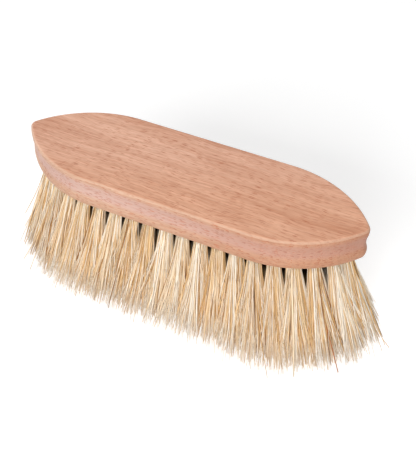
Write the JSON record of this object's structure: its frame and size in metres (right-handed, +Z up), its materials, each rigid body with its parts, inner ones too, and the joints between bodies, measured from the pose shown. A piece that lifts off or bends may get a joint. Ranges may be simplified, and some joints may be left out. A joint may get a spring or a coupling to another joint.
{
  "type": "dusting brush",
  "caption": "Long wooden dusting and grooming brush: a beech block with a moulded grip edge and splayed tufts of stiff plant fibre held in blind holes by anchor wires",
  "frame": {"origin": "under the middle of the block, on the level of the bristle tips", "axes": "+X along the block, +Y across it, +Z up out of the block's top face"},
  "size_m": [0.224, 0.0888, 0.078],
  "materials": {
    "beech": "plain planed and sanded beech, fine short pores along the length, matt",
    "fibre": "stiff pale plant fibre, straw to cream, slightly glossy strands",
    "anchor_steel": "flat drawn steel wire"
  },
  "bodies": {
    "root": {"block": "beech", "outer_row_tufts": "fibre", "second_row_tufts": "fibre", "centre_row_tufts": "fibre", "outer_anchor_wire_01": "anchor_steel", "outer_anchor_wire_02": "anchor_steel", "outer_anchor_wire_03": "anchor_steel", "outer_anchor_wire_04": "anchor_steel", "outer_anchor_wire_05": "anchor_steel", "outer_anchor_wire_06": "anchor_steel", "outer_anchor_wire_07": "anchor_steel", "outer_anchor_wire_08": "anchor_steel", "outer_anchor_wire_09": "anchor_steel", "outer_anchor_wire_10": "anchor_steel", "outer_anchor_wire_11": "anchor_steel", "outer_anchor_wire_12": "anchor_steel", "outer_anchor_wire_13": "anchor_steel", "outer_anchor_wire_14": "anchor_steel", "outer_anchor_wire_15": "anchor_steel", "outer_anchor_wire_16": "anchor_steel", "outer_anchor_wire_17": "anchor_steel", "outer_anchor_wire_18": "anchor_steel", "outer_anchor_wire_19": "anchor_steel", "outer_anchor_wire_20": "anchor_steel", "outer_anchor_wire_21": "anchor_steel", "outer_anchor_wire_22": "anchor_steel", "outer_anchor_wire_23": "anchor_steel", "outer_anchor_wire_24": "anchor_steel", "outer_anchor_wire_25": "anchor_steel", "outer_anchor_wire_26": "anchor_steel", "outer_anchor_wire_27": "anchor_steel", "outer_anchor_wire_28": "anchor_steel", "outer_anchor_wire_29": "anchor_steel", "outer_anchor_wire_30": "anchor_steel", "outer_anchor_wire_31": "anchor_steel", "outer_anchor_wire_32": "anchor_steel", "outer_anchor_wire_33": "anchor_steel", "outer_anchor_wire_34": "anchor_steel", "outer_anchor_wire_35": "anchor_steel", "outer_anchor_wire_36": "anchor_steel", "outer_anchor_wire_37": "anchor_steel", "outer_anchor_wire_38": "anchor_steel", "centre_anchor_wire_01": "anchor_steel", "centre_anchor_wire_02": "anchor_steel", "centre_anchor_wire_03": "anchor_steel", "centre_anchor_wire_04": "anchor_steel", "centre_anchor_wire_05": "anchor_steel", "centre_anchor_wire_06": "anchor_steel", "centre_anchor_wire_07": "anchor_steel", "centre_anchor_wire_08": "anchor_steel", "centre_anchor_wire_09": "anchor_steel", "centre_anchor_wire_10": "anchor_steel", "centre_anchor_wire_11": "anchor_steel"}
  },
  "joints": []
}
